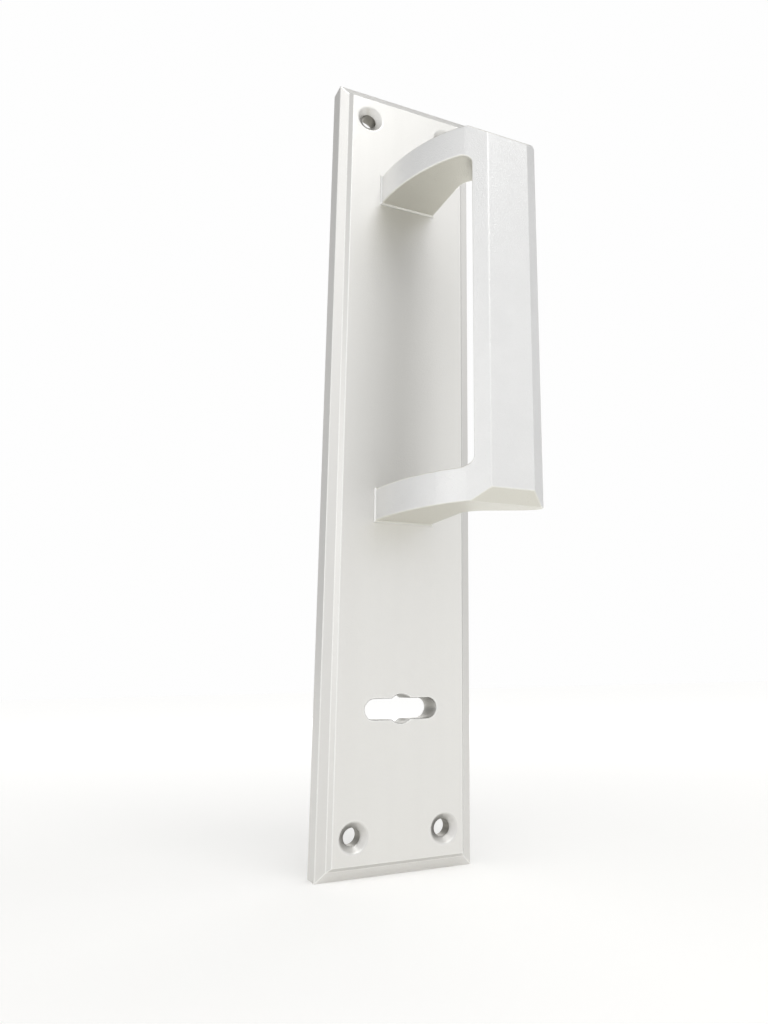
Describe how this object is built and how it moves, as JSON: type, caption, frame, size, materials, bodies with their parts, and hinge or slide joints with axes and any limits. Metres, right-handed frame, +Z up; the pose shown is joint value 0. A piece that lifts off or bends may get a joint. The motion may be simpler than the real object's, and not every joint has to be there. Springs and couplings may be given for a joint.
{
  "type": "door pull handle",
  "caption": "Door pull on a tall backplate: curved legs carry a faceted grip with a finger window, above a lock slot; screws on at the corners.",
  "frame": {"origin": "centre of the backplate's back face, the face that lies on the door", "axes": "+Z up along the plate, -Y out of the door towards the user, +X to the right as the user sees it"},
  "size_m": [0.0509, 0.0515, 0.245],
  "materials": {
    "backplate": "satin silver, fine grain",
    "pull_handle": "satin silver, fine grain",
    "handle_screws": "plain zinc plated"
  },
  "bodies": {
    "root": {"backplate": "backplate", "pull_handle": "pull_handle", "handle_screws": "handle_screws"}
  },
  "joints": []
}
